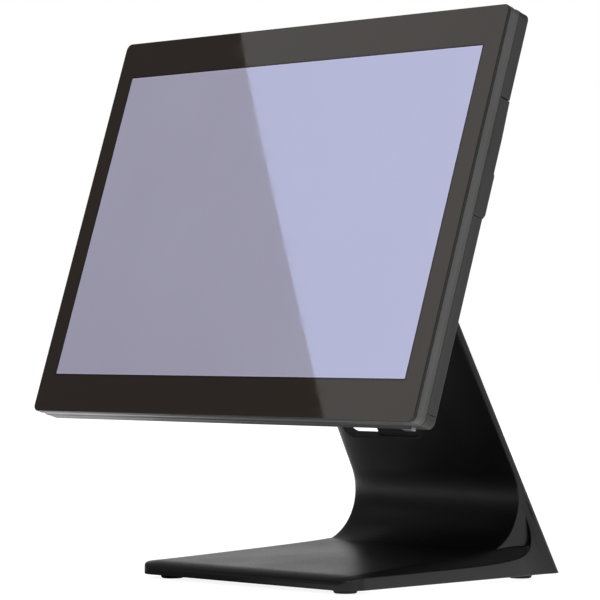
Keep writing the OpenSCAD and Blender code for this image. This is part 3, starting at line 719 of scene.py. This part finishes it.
def lean_at(y):
    """How far a cross-section leans back towards the slope of the neck."""
    return smooth_step((y - LEAN_START) / LEAN_LENGTH)


def base_side(y):
    """Heights of the base's cross-section: its underside, the rim of its side band and its crown."""
    nose = min(1.0, max(0.0, (y - BASE_FRONT) / BASE_CORNER_R))
    lift = math.sqrt(max(0.0, 1 - (1 - nose) ** 2))
    rim = min(RIM_MOST, RIM_LOW + RIM_RISE / max(RIM_END - y, 0.5) ** RIM_POWER)
    nose_z = FOOT_H + NOSE_H
    top = base_top(min(y, TOP_END))
    return FOOT_H, nose_z + (rim - nose_z) * lift, nose_z + (top - nose_z) * lift


def plan_half(y):
    """Half width of the base with its round front corners."""
    r = BASE_CORNER_R
    w = base_half(BASE_FRONT + r)
    t = (BASE_FRONT + r - y) / r
    return base_half(y) if t <= 0 else w - r + r * math.sqrt(max(0.0, 1 - t * t))


def base_place(x, station, z):
    """Leans the cross-sections back to the slope of the neck; their sides run out flush with its cover."""
    y = station - lean_at(station) * RUN * (z - FOOT_H)
    flush = smooth_step((station - FLUSH_START) / (BACK_END - FLUSH_START))
    wide = plan_half(y)
    narrow = wide + (neck_half(z) + 0.1 - 2.5 * smooth_step((z - 28) / 22) - wide) * flush
    return stand(x * narrow / wide, y, z)


def base_ring(y):
    """Cross-section of the base: underside, side band with an eased rim, and crowned top."""
    low, rim, top = base_side(y)

    def at(z):
        return max(plan_half(y - lean_at(y) * RUN * (z - FOOT_H)), 1.0)

    edge = min(0.8, at(rim) * 0.3)
    crown = CROWN_W - CROWN_LOSS * smooth_step((y - CROWN_START) / CROWN_LENGTH)
    crown = min(crown, at(rim) * 0.6)
    middle = (low + rim) / 2
    right = [(at(low) - 0.35, low), (at(low), low + 0.5), (at(middle), middle), (at(rim), rim - edge)]
    for a in (0.5, 1.05, math.pi / 2):
        right.append((at(rim) - edge * (1 - math.cos(a)), rim - edge * (1 - math.sin(a))))
    for i in range(1, CROWN_STEPS + 1):
        x = at(rim) - edge - crown * i / CROWN_STEPS
        right.append((x, rim + (top - rim) * (1 - (1 - i / CROWN_STEPS) ** CROWN_POWER)))
    return right + [(0.0, top)] + [(-x, z) for x, z in right[::-1]] + [(0.0, low)]


def build_base():
    """Wedge base: thin rounded nose, side bands whose rims sweep up at the back, and a crowned top."""
    nose_end = BASE_FRONT + BASE_CORNER_R
    stations = [BASE_FRONT + BASE_CORNER_R * (1 - math.cos(math.pi / 2 * i / 14)) for i in range(15)]
    stations += [nose_end + (FLUSH_START - nose_end) * i / 34 for i in range(1, 35)]
    stations += [FLUSH_START + (BACK_END - FLUSH_START) * i / 30 for i in range(1, 31)]
    points, faces = loft([(base_ring(y), y) for y in stations], base_place)
    return piece("base_shape", points, faces, 30)


def neck_profile():
    """(y, z, outward normal) along the front skin from the base's top, round the sweep and up the neck."""
    low_y, low_z = CORNER_Y - TOUCH * math.cos(BASE_A), CORNER_Z - TOUCH * math.sin(BASE_A)
    high_y, high_z = CORNER_Y + TOUCH * math.cos(NECK_A), CORNER_Z + TOUCH * math.sin(NECK_A)
    a0 = math.atan2(low_z - SWEEP_Z, low_y - SWEEP_Y)
    a1 = math.atan2(high_z - SWEEP_Z, high_y - SWEEP_Y)
    line = []
    for i in range(SWEEP_STEPS + 1):
        a = a0 + (a1 - a0) * i / SWEEP_STEPS
        c, s = math.cos(a), math.sin(a)
        line.append((SWEEP_Y + SWEEP_R * c, SWEEP_Z + SWEEP_R * s, (-c, -s)))
    sweep_top = line[-1][1]
    for i in range(1, NECK_STEPS + 1):
        z = sweep_top + (NECK_TOP - sweep_top) * i / NECK_STEPS
        line.append((FRONT_AT0 - RUN * z, z, (-math.cos(SLOPE), -math.sin(SLOPE))))
    return line


def neck_width(z):
    """Half width of the neck, with its rounded top corners."""
    w = neck_half(z)
    below = NECK_TOP - z
    if below < NECK_CORNER_R:
        w -= NECK_CORNER_R - math.sqrt(max(0.0, NECK_CORNER_R ** 2 - (NECK_CORNER_R - below) ** 2))
    return w


def neck_back(k, z, sweep_top):
    """(y, z) on the joint with the rear cover that lies behind the k-th point of the front skin."""
    if k > SWEEP_STEPS:
        back_z = z + 2.0 * (SWEEP_STEPS + NECK_STEPS - k) / NECK_STEPS
        return JOINT_AT0 - RUN * back_z, back_z
    share = k / SWEEP_STEPS * BACK_SHARE
    if share < 1:
        foot_y = CORNER_Y - TOUCH
        return foot_y + (BACK_END - foot_y) * share, FOOT_H + 0.01
    back_z = FOOT_H + (sweep_top + 2.0 - FOOT_H) * (share - 1) / (BACK_SHARE - 1)
    return JOINT_AT0 - RUN * back_z, back_z


def build_neck():
    """Sweep and neck as one solid behind the front skin, with softened front edges."""
    line = neck_profile()
    sweep_top = line[SWEEP_STEPS][1]
    rings = []
    for k, (y, z, (ny, nz)) in enumerate(line):
        back_y, back_z = neck_back(k, z, sweep_top)
        half = neck_width(z) - 0.1 - 0.9 * smooth_step((70 - z) / 40)
        right = [(half, back_y, back_z)]
        for i in range(EDGE_STEPS + 1):
            a = math.pi / 2 * i / EDGE_STEPS
            sink = NECK_EDGE_D * (1 - math.sin(a))
            right.append((half - NECK_EDGE_W * (1 - math.cos(a)), y - ny * sink, z - nz * sink))
        right.append((half * 0.55, y, z))
        left = [(-across, *rest) for across, *rest in right[::-1]]
        rings.append(right + [(0.0, y, z)] + left + [(0.0, back_y, back_z)])
    n = len(rings[0])
    points = [stand(*p) for ring in rings for p in ring]
    faces = []
    for k in range(len(rings) - 1):
        a, b = k * n, (k + 1) * n
        faces += [[a + i, a + (i + 1) % n, b + (i + 1) % n, b + i] for i in range(n)]
    faces.append(list(range(n))[::-1])
    faces.append([(len(rings) - 1) * n + i for i in range(n)])
    return piece("neck_shape", points, faces, 30)


def join_solid(a, b):
    """Makes one solid of two, in the first."""
    modifier = a.modifiers.new("join", "BOOLEAN")
    modifier.operation = "UNION"
    modifier.solver = "EXACT"
    modifier.object = b
    evaluated = a.evaluated_get(bpy.context.evaluated_depsgraph_get())
    mesh = bpy.data.meshes.new_from_object(evaluated)
    a.modifiers.clear()
    a.data = mesh
    bpy.data.objects.remove(b)


SLOT_X, SLOT_HALF_W, SLOT_LOW, SLOT_HALF_H, SLOT_R = -30.25, 36.25, 100.6, 14.0, 7
GROMMET_T = 2.0
COVER_SCREWS = [(66, 84), (64, 158), (58, 228)]
COVER_SCREW_R = 2.9
FOOT_PLACES = [(82, -2), (67, 164)]
FOOT_STEPS = 40


def slot_cutter():
    """The cable slot with room for its grommet, through the neck and the rear cover."""
    half_w, half_h, r = SLOT_HALF_W + GROMMET_T, SLOT_HALF_H + GROMMET_T, SLOT_R + GROMMET_T
    wide = outline(half_w, half_h, r, 8, SLOT_X, SLOT_LOW + SLOT_HALF_H)
    return loft([(wide, -6.0), (wide, 16.0)], neck_place)


def hollow_cutter():
    """Shallow recess for the base plate in the underside."""
    right = [(base_half(12) - 4.5, 12.0), (base_half(118) - 7, 118.0)]
    right += [(neck_half(52) - 3.5, 118.0), (neck_half(52) - 3.5, JOINT_AT0 - RUN * 4)]
    plan = right + [(-x, y) for x, y in right[::-1]]
    return loft([(plan, FOOT_H - 1), (plan, FOOT_H + 1.25)], lambda x, z, y: stand(x, y, z))


def build_stand():
    """Casting: base and neck as one solid, with the cable slot and the recess for the base plate."""
    body = build_base()
    join_solid(body, build_neck())
    body.name = "stand_casting"
    cut(body, [slot_cutter(), hollow_cutter()])
    smooth_by_angle(body.data, 30)
    return body


finish_piece(build_stand(), "stand_body", "stand")


def build_rear_cover():
    """Flat rear cover with eased edges, the cable slot and pockets for its screws."""
    corner_z = NECK_TOP - NECK_CORNER_R

    def shape(inset):
        low = FOOT_H + inset
        heights = [low] + [low + (corner_z - FOOT_H) * i / 6 for i in range(1, 7)]
        right = [(neck_half(z) - inset, z) for z in heights]
        for i in range(1, 9):
            a = math.pi / 2 * i / 8
            r = NECK_CORNER_R - inset
            right.append((neck_half(corner_z) - NECK_CORNER_R + r * math.cos(a), corner_z + r * math.sin(a)))
        return right + [(-x, z) for x, z in right[::-1]]

    def place(x, depth, z):
        """At a height above the table, on the plane that lies that far behind the neck's front."""
        y = FRONT_AT0 + depth / math.cos(SLOPE) - RUN * z
        return stand(x, y, z)

    front, back = SKIN_T + 0.06, SKIN_T + COVER_T
    rings = [(shape(0.5), front), (shape(0.15), front + 0.2), (shape(0.1), front + 0.6)]
    rings += [(shape(0.1), back - 0.9), (shape(0.3), back - 0.35), (shape(0.9), back)]
    points, faces = loft(rings, place)
    obj = piece("back_cover", points, faces, 28)
    screw = COVER_SCREW_R, SKIN_T + 1, SKIN_T + 12
    cutters = [slot_cutter()]
    cutters += [round_hole(s * x, z, *screw, neck_place) for x, z in COVER_SCREWS for s in (-1, 1)]
    cut(obj, cutters)
    smooth_by_angle(obj.data, 28)
    return obj


finish_piece(build_rear_cover(), "rear_cover", "stand")


def build_feet():
    """Four moulded rubber feet: a tapered pad with a rounded rim and a shallow ring underneath."""
    profile = [(3.2, 0.35), (3.7, 0.0), (6.3, 0.0), (6.85, 0.25), (7.2, 0.8)]
    profile += [(7.9, FOOT_H - 0.15), (7.9, FOOT_H)]
    points, faces = [], []
    k = len(profile)
    for x, y in FOOT_PLACES:
        for side in (-1, 1):
            start = len(points)
            for i in range(FOOT_STEPS):
                a = 2 * math.pi * i / FOOT_STEPS
                points += [stand(side * x + r * math.cos(a), y + r * math.sin(a), z) for r, z in profile]
            rows = [start + i * k for i in range(FOOT_STEPS)]
            for a, b in zip(rows, rows[1:] + rows[:1]):
                faces += [[a + q, b + q, b + q + 1, a + q + 1] for q in range(k - 1)]
            faces.append(rows)
            faces.append([row + k - 1 for row in rows][::-1])
    return piece("rubber_feet", points, faces, 30)


finish_piece(build_feet(), "feet", "stand")

EASED_EDGE = 0.35
EASED = ["head_bracket", "stand_bracket", "hinge_cover", "port_plate"]
EASED += ["cable_grommet", "power_button", "heatsink"]
for node in EASED:
    soften(NODES[node], EASED_EDGE)

# ---------------------------------------------------------------- studio

CAMERA_AT = Vector((1.50731, -1.38339, 0.15552))
CAMERA_AZIMUTH = math.radians(48.277)
CAMERA_PITCH = math.radians(0.6356)
LENS = 192.06


def floor_material():
    """Pale floor that keeps its whiteness to the horizon."""
    m = Nodes("pale_floor")
    away = m.add("ShaderNodeVectorMath", {0: m.coords}, operation="LENGTH").outputs["Value"]
    m.set(
        Base_Color=rgb(0.3, 0.3, 0.3),
        Roughness=m.spread(m.noise(4.0), 0.6, 0.75),
        Emission_Strength=m.spread(away, 0.9, 1.0, 0.4, 1.6),
    )
    m.shader.inputs["Emission Color"].default_value = rgb(1, 1, 1)
    return m.material


def stage_piece(name, points, faces, material):
    """Part of the studio, which isn't part of the object."""
    obj = piece(name, points, faces, 60)
    obj.data.materials.append(material)
    return obj


def circle_points(r, z, count):
    turns = [2 * math.pi * i / count for i in range(count)]
    return [Vector((r * math.cos(a), r * math.sin(a), z)) for a in turns]


def band_faces(a, b, count):
    """Faces between two rings of points that start at two places in the list."""
    return [[a + i, b + i, b + (i + 1) % count, a + (i + 1) % count] for i in range(count)]


def disc_of_faces(size, rings, count, z):
    points = [Vector((0, 0, z))]
    for k in range(1, rings + 1):
        points += circle_points(size * k / rings, z, count)
    faces = [[0, 1 + i, 1 + (i + 1) % count] for i in range(count)]
    for k in range(rings - 1):
        faces += band_faces(1 + k * count, 1 + (k + 1) * count, count)
    return points, faces


def emitter(name, color, strength):
    material = bpy.data.materials.new(name)
    material.use_nodes = True
    tree = material.node_tree
    tree.nodes.clear()
    out = tree.nodes.new("ShaderNodeOutputMaterial")
    glow = tree.nodes.new("ShaderNodeEmission")
    glow.inputs["Color"].default_value = color
    glow.inputs["Strength"].default_value = strength
    tree.links.new(glow.outputs[0], out.inputs[0])
    return material


def shade_floor_patch(material, x, y, inner, outer, dim, full):
    """The floor's light is held back over a round patch, as by a dark flag laid there."""
    tree = material.node_tree
    coords = tree.nodes.new("ShaderNodeTexCoord")
    away = tree.nodes.new("ShaderNodeVectorMath")
    away.operation = "DISTANCE"
    away.inputs[1].default_value = (x, y, 0.0)
    fade = tree.nodes.new("ShaderNodeMapRange")
    for key, value in (("From Min", inner), ("From Max", outer), ("To Min", dim), ("To Max", full)):
        fade.inputs[key].default_value = value
    tree.links.new(coords.outputs["Object"], away.inputs[0])
    tree.links.new(away.outputs["Value"], fade.inputs["Value"])
    glow = next(n for n in tree.nodes if n.type == "EMISSION")
    tree.links.new(fade.outputs[0], glow.inputs["Strength"])


def only_seen_by(obj, camera=False, diffuse=False, glossy=False):
    """Limits which rays meet a piece of the studio, and lets it cast no shadow."""
    obj.visible_camera = camera
    obj.visible_diffuse = diffuse
    obj.visible_glossy = glossy
    obj.visible_transmission = False
    obj.visible_volume_scatter = False
    obj.visible_shadow = False


floor = stage_piece("studio_floor", *disc_of_faces(9.0, 6, 48, 0.0), floor_material())
floor.visible_diffuse = False
floor.visible_glossy = False
floor.visible_shadow = False
bounce_light = emitter("bounce_light", rgb(1, 1, 1), 1.0)
bounce = stage_piece("floor_bounce", *disc_of_faces(6.0, 4, 48, -0.001), bounce_light)
shade_floor_patch(bounce_light, -0.13, -0.08, 0.1, 0.22, 0.06, 1.2)
only_seen_by(bounce, diffuse=True, glossy=True)
GLOW_X, GLOW_Y = (-0.7, -0.27), (-0.04, 0.5)
glow_corners = [Vector((GLOW_X[i], GLOW_Y[j], -0.0005)) for i, j in ((0, 0), (1, 0), (1, 1), (0, 1))]
glow = stage_piece("floor_glow", glow_corners, [[0, 1, 2, 3]], emitter("glow_light", rgb(1, 1, 1), 3.2))
only_seen_by(glow, diffuse=True, glossy=True)


def build_backdrop():
    """White surround that only the camera sees, so that it doesn't flood the black finishes with light."""
    size, rows, count = 8.9, 12, 48
    points = []
    for k in range(rows + 1):
        a = math.pi / 2 * k / rows
        points += circle_points(size * math.cos(a), size * math.sin(a), count)
    faces = []
    for k in range(rows):
        a, b = k * count, (k + 1) * count
        faces += [[a + i, a + (i + 1) % count, b + (i + 1) % count, b + i] for i in range(count)]
    obj = stage_piece("studio_surround", points, faces, emitter("white_surround", rgb(1, 1, 1), 1.0))
    only_seen_by(obj, camera=True)


build_backdrop()


def build_card():
    """A big light card whose reflection covers the right of the glass.

    Its places are on the glass, in millimetres: the slanting edge first, then the corners beyond the glass.
    """
    crossing = [(-76.0, 150.0), (-50.0, 105.0), (-16.0, 52.0), (33.0, -22.0), (76.0, -86.0), (122.0, -155.0)]
    normal_gap = (CAMERA_AT - HEAD_ORIGIN).dot(BACK)
    mirrored = CAMERA_AT - BACK * 2 * normal_gap
    far = 2.1
    far_side = [(330.0, -210.0), (330.0, 230.0)]
    points = [mirrored + (head(x, 0, up) - mirrored) * far for x, up in crossing + far_side]
    light = emitter("card_light", rgb(1.0, 1.0, 1.0), 1.0)
    card = stage_piece("light_card", points, [list(range(len(points)))], light)
    only_seen_by(card, diffuse=True, glossy=True)


build_card()


def upright_card(name, at, width, low, high, strength):
    """A standing card that faces the object."""
    across = Vector((at[1], -at[0], 0)).normalized() * (width / 2)
    foot = Vector((at[0], at[1], 0))
    points = [foot - across + Vector((0, 0, low)), foot + across + Vector((0, 0, low))]
    points += [foot + across + Vector((0, 0, high)), foot - across + Vector((0, 0, high))]
    light = emitter(name + "_light", rgb(1, 1, 1), strength)
    card = stage_piece(name, points, [[0, 1, 2, 3]], light)
    only_seen_by(card, diffuse=True, glossy=True)


upright_card("back_left_card", (-2.4, 2.1), 3.2, 0.0, 1.1, 0.95)
upright_card("back_right_card", (2.2, 2.1), 2.4, 0.0, 1.2, 0.75)


def area_light(name, at, towards, size, power):
    data = bpy.data.lights.new(name, "AREA")
    data.shape = "RECTANGLE"
    data.size = size
    data.size_y = size
    data.energy = power
    obj = bpy.data.objects.new(name, data)
    bpy.context.scene.collection.objects.link(obj)
    obj.location = at
    obj.rotation_mode = "QUATERNION"
    obj.rotation_quaternion = (Vector(towards) - Vector(at)).to_track_quat("-Z", "Y")
    obj.visible_camera = False


area_light("top_light", (-0.3, 0.2, 2.6), (0, 0, 0.1), 2.4, 16)
area_light("right_light", (2.2, -0.6, 0.9), (0, 0, 0.2), 1.0, 16)
area_light("front_light", (0.9, -2.2, 1.9), (0, 0, 0.2), 1.2, 26)

world = bpy.data.worlds.new("studio")
bpy.context.scene.world = world
world.use_nodes = True
world.node_tree.nodes["Background"].inputs[0].default_value = rgb(0.16, 0.16, 0.165)
world.node_tree.nodes["Background"].inputs[1].default_value = 1.0

camera_data = bpy.data.cameras.new("camera")
camera = bpy.data.objects.new("camera", camera_data)
bpy.context.scene.collection.objects.link(camera)
camera_data.lens = LENS
camera_data.sensor_width = 36.0
camera_data.dof.use_dof = False
camera.location = CAMERA_AT
level = math.cos(CAMERA_PITCH)
look = Vector((-math.sin(CAMERA_AZIMUTH) * level, math.cos(CAMERA_AZIMUTH) * level, math.sin(CAMERA_PITCH)))
camera.rotation_mode = "QUATERNION"
camera.rotation_quaternion = look.to_track_quat("-Z", "Y")
bpy.context.scene.camera = camera
bpy.context.scene.view_settings.view_transform = "Standard"
